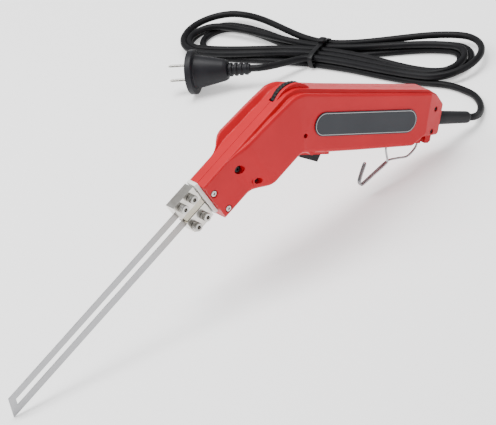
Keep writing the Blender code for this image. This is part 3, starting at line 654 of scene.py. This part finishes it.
def blend(t):
    t = min(1.0, max(0.0, t))
    return t * t * (3.0 - 2.0 * t)


def mix(a, b, t):
    return a + (b - a) * t


def handle_half(x):
    """Half width of the side panels along the handle."""
    return BODY_HALF - HANDLE_TAPER * max(0.0, x)


def sections():
    """Rows of top x, top z, bottom x, bottom z, half width, rim drop, groove drop and rounding radius."""
    rows = []
    for u in (NOSE_END, 90.0, RAMP_FRONT, 72.5, 69.0, 66.0, 63.0, 60.0, RAMP_BACK):
        t = blend((RAMP_FRONT - u) / (RAMP_FRONT - RAMP_BACK))
        sizes = (mix(NOSE_HALF, BODY_HALF, t), mix(0.4, -3.6, t), mix(0.4, 1.4, t))
        rows.append((*uv(u, SPINE_V), *uv(u, mix(NOSE_DEPTH, BULGE_DEPTH, t)), *sizes, 2.0))
    for u in (41.0, 27.0):
        rim = mix(-3.6, -2.2, (RAMP_BACK - u) / (RAMP_BACK - 27.0))
        rows.append((*uv(u, SPINE_V), *uv(u, BULGE_DEPTH), BODY_HALF, rim, 2.2, 4.0))
    for top, bottom, rim in (
        (uv(18.0, SPINE_V), (14.6, -48.3), -1.5),
        (uv(10.0, SPINE_V), (15.3, -47.9), -0.8),
        (uv(4.0, SPINE_V), (16.0, -47.7), -0.2),
        ((0.3, -0.4), (16.8, -47.7), 0.3),
        ((4.2, 1.5), (17.9, -47.7), 0.8),
        ((9.0, 2.4), (19.3, -47.7), 1.2),
        ((16.0, 2.4), (22.0, -47.7), 1.5),
    ):
        rows.append((*top, *bottom, handle_half(top[0]), rim, 3.2, 2.0))
    for x in (42.0, 75.0, 110.0, 134.7, HANDLE_END):
        bottom = max(-47.7, mix(-47.7, -45.7, (x - 56.0) / 79.0)) if x < 140.0 else -38.4
        top = mix(2.4, 0.5, (x - 16.0) / 126.0)
        rows.append((x, top, x, bottom, handle_half(x), mix(1.7, 2.0, x / HANDLE_END), 3.4, 1.2))
    rows.append((153.0, -3.0, 153.0, -38.6, 10.4, 1.0, 2.0, 1.0))
    rows.append((CAP_END, -11.5, CAP_END, -39.0, 6.4, 0.6, 0.6, 1.0))
    return np.array(rows)


def section(row, inset):
    """One half section as (across, down) pairs from the top middle to the bottom middle."""
    height = math.hypot(row[2] - row[0], row[3] - row[1])
    half, rim, groove = row[4:7]
    if inset > 0.0:
        half, roof, floor = half - inset, max(rim, groove, 0.0) + inset, height - inset
        return np.array([(0.0, roof), (half, roof), (half, floor), (0.0, floor)])
    spine = min(SPINE_HALF, half - 0.6)
    room = half - spine
    soft = min(1.6, 0.35 * room)
    corners = [
        (0.0, 0.0),
        (spine - 0.3, 0.0),
        (spine, 0.3),
        (spine + 0.10 * room, groove),
        (spine + 0.34 * room, groove + 0.1),
        (half - soft - 0.18 * room, rim + 0.3),
        (half - 0.75 * soft, rim),
        (half - 0.01 * room, rim + soft + 0.2),
        (half, rim + soft + 1.0),
        (half, height - 2.6),
        (half - 2.6, height),
        (0.0, height),
    ]
    radii = [0.0, 0.5, 0.4, 0.5, 0.8, 1.4, 0.8, 0.6, 0.6, 1.6, 1.6, 0.0]
    return rounded(corners, radii, 4)


def shell_mesh(name, inset, side, seam):
    """Half of the housing as a closed solid in millimetres whose flat face lies at the seam."""
    rows = sections()
    if inset > 0.0:
        front = (*uv(NOSE_END - WALL, SPINE_V), *uv(NOSE_END - WALL, NOSE_DEPTH), NOSE_HALF, 0.4, 0.4, 0.0)
        back = (158.0, -6.5, 158.0, -38.8, 8.6, 0.8, 1.2, 0.0)
        rows = np.concatenate([[front], rows[1:-2], [back]])
    else:
        rows = rounded(rows[:, :7], rows[:, 7], 4)
    rings = []
    for row in rows:
        top, bottom = np.array([row[0], 0.0, row[1]]), np.array([row[2], 0.0, row[3]])
        down = (bottom - top) / np.linalg.norm(bottom - top)
        half = section(row, inset)
        across = np.where(half[:, 0] == 0.0, seam, half[:, 0])
        rings.append(top + half[:, 1:] * down + across[:, None] * np.array([0.0, side, 0.0]))
    return solid(name, np.stack(rings) * MM)


print("the housing has", len(sections()), "stations")

# %% [markdown]
# ## Cutting the shells
# Holes and slots are cut with Booleans, in the tool's own axes. Two rules keep them clean. Every shape is
# drawn past the middle of the tool, so no two faces share a plane, and one last cut makes the flat seam. And
# each cutter is a closed shape of its own: a plate from an outline, or a turned one.
# %% Cutters


def plate(name, outline, low, high):
    """An (x, z) outline in millimetres carried from y = low to y = high."""
    ring = np.array([(x, 0.0, z) for x, z in outline])
    return solid(name, np.stack([ring + (0.0, low, 0.0), ring + (0.0, high, 0.0)]) * MM)


def pipe(name, centre, radius, low, high, count=48):
    """A round plate about y."""
    start = [centre[0], low, centre[1]]
    ends = [(0.0, radius), (high - low, radius)]
    return solid(name, turned(ends, start, [0.0, 1.0, 0.0], [1.0, 0.0, 0.0], count) * MM)


def box_xz(x0, x1, z0, z1):
    return [(x0, z0), (x1, z0), (x1, z1), (x0, z1)]


def box_uv(u0, u1, v0, v1):
    return [uv(u0, v0), uv(u1, v0), uv(u1, v1), uv(u0, v1)]


def combine(target, shape, operation):
    """Joins a closed shape to the target or cuts it away, then removes the shape."""
    modifier = target.modifiers.new("step", "BOOLEAN")
    modifier.operation = operation
    modifier.solver = "MANIFOLD"
    modifier.object = shape
    bpy.context.view_layer.update()
    mesh = bpy.data.meshes.new_from_object(target.evaluated_get(bpy.context.evaluated_depsgraph_get()))
    target.modifiers.remove(modifier)
    target.data = mesh
    bpy.data.objects.remove(shape, do_unlink=True)


CASE_SCREWS = (
    ("case_screw_nose_upper", uv(99.2, 10.8), NOSE_HALF, 3.0, 2.0, 2.6),
    ("case_screw_nose_lower", uv(96.9, 31.6), NOSE_HALF, 3.0, 2.0, 2.6),
    ("case_screw_body_upper", uv(71.9, 12.4), 11.3, 3.6, 4.0, 2.9),
    ("case_screw_body_lower", uv(66.0, 31.0), 15.2, 2.6, 5.5, 2.2),
    ("case_screw_handle_front", (14.6, -32.7), BODY_HALF, 1.9, 9.0, 1.6),
    ("case_screw_rear_upper", (155.0, -15.6), 9.7, 2.0, 3.5, 1.7),
    ("case_screw_rear_lower", (154.5, -34.3), 9.9, 2.0, 3.5, 1.7),
)
SCREW_SHANK, SCREW_REACH, GAP = 1.1, 6.0, 0.3
DIAL_CENTRE, DIAL_RADIUS, DIAL_HALF = (9.1, -11.9), 18.2, 2.2
TRIGGER_PIVOT, TRIGGER_HALF = (25.5, -46.0), 6.0
HOOK_AXIS_Z, HOOK_WIRE, HOOK_SPREAD = -41.5, 0.9, 1.05

# %% The two shells


def shell(name, side):
    """One half of the housing: the loft, hollowed, with its posts and bosses, then its openings."""
    made = shell_mesh(name, 0.0, side, -2.0)

    def across(low, high):
        return (-high, -low) if side < 0 else (low, high)

    def add(shape):
        combine(made, shape, "UNION")

    def remove(shape):
        combine(made, shape, "DIFFERENCE")

    remove(shell_mesh("cavity", WALL, side, -3.0))
    lip = [(15.9, -49.4), (17.6, -51.0), (49.8, -51.0), (49.8, -46.2), (19.8, -46.2)]
    add(plate("lip", lip, *across(-1.0, 10.0)))
    add(plate("bearing", box_xz(109.0, 123.0, -45.6, -37.6), *across(-1.0, 10.6)))
    rear = [(143.0, -45.0), (156.0, -45.0), (158.0, -43.0), (158.0, -37.0), (143.0, -37.0)]
    add(plate("rear_bearing", rear, *across(-1.0, 6.0)))
    add(pipe("pivot", TRIGGER_PIVOT, 3.0, *across(TRIGGER_HALF + 0.5, BODY_HALF - 2.0)))
    if side < 0:
        guard = rounded([(0.0, 0.0), (0.0, 20.8), (3.0, 20.8), (3.0, 0.0)], [0, 0.9, 0.5, 0], 4)
        guard[:, 1] = np.maximum(guard[:, 1], 0.01)
        points = turned(guard, [11.2, -5.4, -14.8], [0.0, 1.0, 0.0], [1.0, 0.0, 0.0], 128)
        add(solid("guard", points * MM))
    for title, centre, half, pocket, depth, head in CASE_SCREWS:
        radius = 3.4 if half == NOSE_HALF else pocket + 1.6
        add(pipe("post", centre, radius, *across(-1.0, half - 1.3)))
    for title, centre, half, pocket, depth, head in CASE_SCREWS:
        reach = half - depth + 1.0 if side < 0 else SCREW_REACH + 0.5
        remove(pipe("shank", centre, SCREW_SHANK + GAP, *across(-2.0, reach), 24))
        if side < 0:
            remove(pipe("pocket", centre, pocket, -half - 14.0, -half + depth))
            remove(pipe("rim", centre, pocket + 0.5, -half - 14.0, -half + 0.35))
    remove(pipe("dial_slot", DIAL_CENTRE, DIAL_RADIUS + 0.9, -DIAL_HALF - 0.5, DIAL_HALF + 0.5, 128))
    remove(pipe("dial_bore", DIAL_CENTRE, 3.1, -6.6, 4.8, 32))
    remove(plate("trigger_slot", box_xz(20.0, 47.4, -60.0, -42.0), -TRIGGER_HALF - 0.4, TRIGGER_HALF + 0.4))
    remove(pipe("pin_bore", TRIGGER_PIVOT, 1.2 + GAP, -9.6, 9.6, 24))
    for low, high in ((2.9, 6.5), (17.7, 24.3)):
        remove(plate("stem", box_uv(98.0, 106.0, low, high), -3.3, 3.3))
    bore = turned([(0.0, 4.9), (18.0, 4.9)], [152.0, 0.0, BOOT_Z], [1.0, 0.0, 0.0], [0.0, 0.0, 1.0], 48)
    remove(solid("boot_bore", bore * MM))
    remove(plate("hook_slot", box_xz(115.0, 119.6, -60.0, -38.4), -8.0, 8.0))
    remove(plate("hook_slot", box_xz(147.8, 152.4, -60.0, -39.0), -8.0, 8.0))
    for start, length in ((110.4, 4.8), (152.2, 4.4)):
        wide = [(0.0, HOOK_WIRE + GAP), (length, HOOK_WIRE + GAP)]
        seat = turned(wide, [start, 0.0, HOOK_AXIS_Z], [1.0, 0.0, 0.0], [0.0, 0.0, 1.0], 24)
        remove(solid("hook_seat", seat * MM))
    remove(plate("seam", box_xz(-120.0, 200.0, -140.0, 40.0), *across(-30.0, SEAM)))
    return made


def settle(made):
    """Turns a mesh in the tool's millimetre axes into the frame, after merging what the cuts left."""
    bm = bmesh.new()
    bm.from_mesh(made.data)
    bmesh.ops.remove_doubles(bm, verts=bm.verts, dist=2e-6)
    bmesh.ops.dissolve_degenerate(bm, edges=bm.edges, dist=2e-6)
    bmesh.ops.recalc_face_normals(bm, faces=bm.faces)
    bm.to_mesh(made.data)
    bm.free()
    points = np.zeros(len(made.data.vertices) * 3)
    made.data.vertices.foreach_get("co", points)
    made.data.vertices.foreach_set("co", from_tool(points.reshape(-1, 3) / MM).ravel())
    made.data.update()
    return made


for which, side in (("near", -1.0), ("far", 1.0)):
    half_shell = settle(shell(f"shell_{which}", side))
    dress(half_shell, "root", RED, 30.0, weighted=True)
    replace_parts(half_shell, f"housing_{which}")
    print(half_shell.name, "has", len(half_shell.data.polygons), "faces")

# %% [markdown]
# ## Screws
# A screw head is a set of rings, and its socket is rings too: the same grid, with a radius that depends on
# the angle. A hexagon of flat radius f is r(a) = f / cos(a mod 60 - 30), and a six-lobed socket is
# r(a) = r0 (1 + 0.2 cos 6a). The knurl on a cap screw is a small ripple on the rings of its side.
# %% Screws


def hexagon(angle):
    return 1.0 / np.cos(np.mod(angle, math.pi / 3.0) - math.pi / 6.0)


def screw(name, centre, face, profile, ripple, material):
    """A screw about y from (distance, radius) pairs, counted from its head's underside."""
    points = turned(profile, [centre[0], face, centre[1]], [0.0, 1.0, 0.0], [1.0, 0.0, 0.0], 96, ripple)
    made = solid(name, from_tool(points))
    dress(made, "root", material, 30.0)
    return made


def cap_ripple(angle, ring):
    """Rings 0 to 2 are the hexagonal socket, and rings 6 to 8 carry the knurl."""
    knurl = 1.0 + 0.022 * np.cos(32.0 * angle)
    return np.where(ring <= 2, hexagon(angle), np.where((ring >= 6) & (ring <= 8), knurl, 1.0))


def lobe_ripple(angle, ring):
    """Rings 0 to 2 are the six-lobed socket."""
    return np.where(ring <= 2, 1.0 + 0.2 * np.cos(6.0 * angle), 1.0)


CLAMP_SCREWS = (
    ("clamp_screw_upper_rear", 114.8, 0.2),
    ("clamp_screw_upper_front", 125.3, 0.2),
    ("clamp_screw_lower_rear", 114.8, 21.6),
    ("clamp_screw_lower_front", 125.3, 21.6),
)
for title, u, v in CLAMP_SCREWS:
    cap = [(-2.2, 0.01), (-2.2, 1.45), (-5.25, 1.5), (-5.4, 1.75), (-5.4, 2.7), (-5.3, 3.15)]
    cap += [(-4.9, 3.45), (-2.5, 3.45), (-0.35, 3.45), (-0.1, 3.35), (0.0, 3.1)]
    cap += [(0.0, 1.9), (10.4, 1.9), (10.8, 1.5), (10.8, 0.01)]
    made = screw(title + "_cap", uv(u, v), -5.3, cap, cap_ripple, SOCKET)
    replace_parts(made, title)
for title, centre, half, pocket, depth, head in CASE_SCREWS:
    face = -half + depth - GAP
    r = head * 0.42
    end = SCREW_REACH - face
    pan = [(-0.7, 0.01), (-0.7, r * 0.9), (-1.6, r), (-1.7, r + 0.15), (-1.72, head * 0.7)]
    pan += [(-1.45, head * 0.9), (-1.0, head), (-0.2, head), (0.0, head - 0.15)]
    pan += [(0.0, SCREW_SHANK), (end, SCREW_SHANK), (end, 0.01)]
    finish = SOCKET if half == NOSE_HALF else DARK_STEEL
    made = screw(title + "_pan", centre, face, pan, lobe_ripple, finish)
    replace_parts(made, title)
print("screws:", len(CLAMP_SCREWS) + len(CASE_SCREWS))

# %% [markdown]
# ## Clamp blocks, insulators and blade
# These are sawn and milled pieces whose drawn shape is right, so each is a copy of the drawn solid with its
# edges broken. A real edge is never perfectly sharp, and the small bevel is what catches the light.
# %% Front end
softened("terminal_block_upper", "clamp_block_upper", "root", NICKEL, 0.5)
softened("terminal_block_lower", "clamp_block_lower", "root", NICKEL, 0.5)
softened("front_insulator_plate", "insulator_plate", "root", CERAMIC, 0.4)
softened("block_spacer", "mica_strip", "root", MICA, 0.2)
softened("hot_blade", "slotted_blade", "root", STEEL, 0.12, 2)
print("front end: 5 pieces")

# %% [markdown]
# ## The dial
# A thumb wheel is a closed band: round the axle, and round its own section. The outer rings ripple to make
# grip ridges, r(a) = R - 0.35 (1 - cos 36a), fading out toward the chamfered edges.
# %% Dial


def dial():
    """P(ring, a): the section runs from the bore up one side, over the ridged rim and down the other."""
    h, r = DIAL_HALF, DIAL_RADIUS
    side = [(-h, 3.1), (-h, 3.6), (-h + 0.25, 6.2), (-h + 0.25, r - 3.2), (-h, r - 2.4)]
    side += [(-h, r - 1.0), (-h + 0.15, r - 0.45), (-h + 0.6, r - 0.12), (-h + 1.0, r)]
    outline = side + [(-d, radius) for d, radius in reversed(side)]
    depth = np.zeros(len(outline))
    depth[6:12] = (0.3, 0.8, 1.0, 1.0, 0.8, 0.3)

    def ridges(angle, ring):
        return 1.0 - depth[ring] * 0.35 * (1.0 - np.cos(36.0 * angle)) / r

    start = [DIAL_CENTRE[0], 0.0, DIAL_CENTRE[1]]
    points = turned(outline, start, [0.0, 1.0, 0.0], [1.0, 0.0, 0.0], 360, ridges)
    made = solid("thumb_wheel", from_tool(points), closed=True)
    dress(made, "dial", BLACK, 50.0)
    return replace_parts(made, "dial_wheel")


dial()
softened("trigger", "trigger_moulding", "trigger_lever", BLACK, 0.7, 4)
print("dial and trigger made")

# %% [markdown]
# ## The hook
# One springy wire is bent double into a hook, and its two ends turn outward into bearings in the shells, so
# the hook folds flat or swings out. Its line is a smooth curve through the bends.
# %% Hook


def hook():
    """A Catmull-Rom line through the bends, carried round by the wire's radius."""
    s, z = HOOK_SPREAD, HOOK_AXIS_Z
    front = [(111.0, 0.0, z), (114.8, 0.0, z), (116.6, -0.1, z - 0.8), (117.3, -0.3, z - 3.0)]
    front += [(117.2, -0.7, -51.5), (120.4, -s, -60.2), (119.0, -s, -63.4)]
    run = [(109.0, -s, -71.8), (99.6, -s, -79.6), (97.0, -s, -80.0), (95.4, -s, -77.4), (96.0, -s, -71.5)]
    turn = [(97.7, -s, -63.6), (97.9, 0.0, -62.3), (97.7, s, -63.6)]
    back = [(x, -y, height) for x, y, height in reversed(run)]
    rear = [(118.5, s, -63.9), (124.0, s, -60.6), (133.0, s, -59.2), (142.8, 0.9, -57.6), (149.2, 0.4, -50.5)]
    rear += [(150.0, 0.2, z - 3.0), (150.6, 0.1, z - 0.8), (152.6, 0.0, z), (156.2, 0.0, z)]
    bends = smooth_route(np.array(front + run + turn + back + rear), 0.4)
    made = wire("wire_hook", from_tool(bends), HOOK_WIRE, 5)
    dress(made, "hook", CHROME)
    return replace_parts(made, "hanging_hook")


hook()
print("hook made")

# %% [markdown]
# ## The label
# The rating plate is a printed film on a thin plate, left blank here but for a fine border. The border is a
# line at a fixed distance from the pill's edge: the distance from the pill's middle line, less its radius.
# %% Label
BORDER = 8.7


def label_film():
    """Dark film with a pale line 8.7 mm from the middle line, which fades out 0.12 to 0.22 mm either side."""
    g = Graph("label_film", 0.34, Specular_IOR_Level=0.2)
    x0, x1, middle = 22.5 + 9.8, 132.0 - 9.8, -23.7
    way = from_tool([[1.0, 0.0, 0.0], [0.0, 0.0, 1.0]]) - from_tool([0.0, 0.0, 0.0])
    way_x, way_z = (tuple(w / MM) for w in way)
    corner = from_tool([x0, 0.0, middle])
    along = g.along(way_x) - float(corner @ np.array(way_x))
    over = g.along(way_z) - float(corner @ np.array(way_z))
    inside = g.maths("MINIMUM", g.maths("MAXIMUM", along, 0.0), (x1 - x0) * MM)
    reach = g.node("CombineXYZ", None, {0: along - inside, 1: over, 2: 0.0})
    distance = g.node("VectorMath", {"operation": "LENGTH"}, {0: reach}, "Value")
    off = g.maths("ABSOLUTE", distance - BORDER * MM)
    border = 1.0 - off.step(0.00012, 0.00022)
    grain = g.noise(2600.0, 2.0)
    drift = g.noise(40.0, 3.0)
    film = g.mix(drift, rgb(0.018, 0.020, 0.025), rgb(0.030, 0.033, 0.040))
    return g.finish(g.mix(border, film, rgb(0.55, 0.55, 0.56)), 0.30 + 0.12 * drift, grain, 0.00002)


softened("label_plate", "rating_plate", "root", label_film(), 0.3)
print("label made")

# %% [markdown]
# ## The pieces inside
# What lies inside keeps its drawn shape and gets its material.
# %% Inside
INSIDE = {
    "transformer_core": IRON,
    "transformer_coil": COPPER,
    "secondary_strap_upper": COPPER,
    "secondary_strap_lower": COPPER,
    "circuit_board": BOARD,
    "board_capacitor": BLACK,
    "board_triac": IRON,
    "cord_clamp": BLACK,
    "cord_inner": SHEATH,
    "dial_shaft": STEEL,
    "dial_potentiometer": BLACK,
    "trigger_pin": STEEL,
    "trigger_switch": BLACK,
}
for node, material in INSIDE.items():
    NODES[node].data.materials.clear()
    NODES[node].data.materials.append(material)
print("inside:", len(INSIDE), "nodes")

# %% [markdown]
# ## Light and floor
# A white table under soft light: a bright even sky, a lamp behind and to the left for the long highlights, a
# wider one straight above for the table and the top faces, and a weak one from the front. The table also
# glows a little, which keeps it pale without flooding the tool with light.
# %% Light and floor


def lamp(name, place, target, size, power):
    """An area lamp at place that faces target; its back is the direction from the target."""
    made = bpy.data.objects.new(name, bpy.data.lights.new(name, "AREA"))
    made.data.size = size
    made.data.energy = power
    back = np.asarray(place, float) - target
    back = back / np.linalg.norm(back)
    side = np.cross([0.0, 0.0, 1.0], back)
    side = side / np.linalg.norm(side)
    matrix = np.eye(4)
    matrix[:3, 0], matrix[:3, 1], matrix[:3, 2], matrix[:3, 3] = side, np.cross(back, side), back, place
    made.matrix_world = mathutils.Matrix(matrix.tolist())
    bpy.context.scene.collection.objects.link(made)


TABLE_EDGE = 4.0
world = bpy.data.worlds.new("studio")
world.use_nodes = True
world.node_tree.nodes["Background"].inputs["Color"].default_value = (1.0, 1.0, 1.0, 1.0)
world.node_tree.nodes["Background"].inputs["Strength"].default_value = 0.65
bpy.context.scene.world = world
lamp("key_lamp", [-0.7, 0.7, 1.3], [0.0, 0.1, 0.0], 0.7, 16.0)
lamp("top_lamp", [0.1, 0.35, 1.8], [0.0, 0.1, 0.0], 1.0, 42.0)
lamp("fill_lamp", [0.5, -1.4, 0.6], [0.0, 0.0, 0.05], 0.5, 2.0)
table = Graph("white_table", 0.55, Emission_Color=rgb(1.0, 1.0, 1.0), Emission_Strength=0.5)
table.finish(rgb(0.93, 0.93, 0.93), 0.5 + 0.1 * table.noise(30.0))
floor = bpy.data.objects.new("table_top", bpy.data.meshes.new("table_top"))
e = TABLE_EDGE
floor.data.from_pydata([(-e, -e, 0.0), (e, -e, 0.0), (e, e, 0.0), (-e, e, 0.0)], [], [(0, 1, 2, 3)])
floor.data.materials.append(table.material)
bpy.context.scene.collection.objects.link(floor)
print("lit")
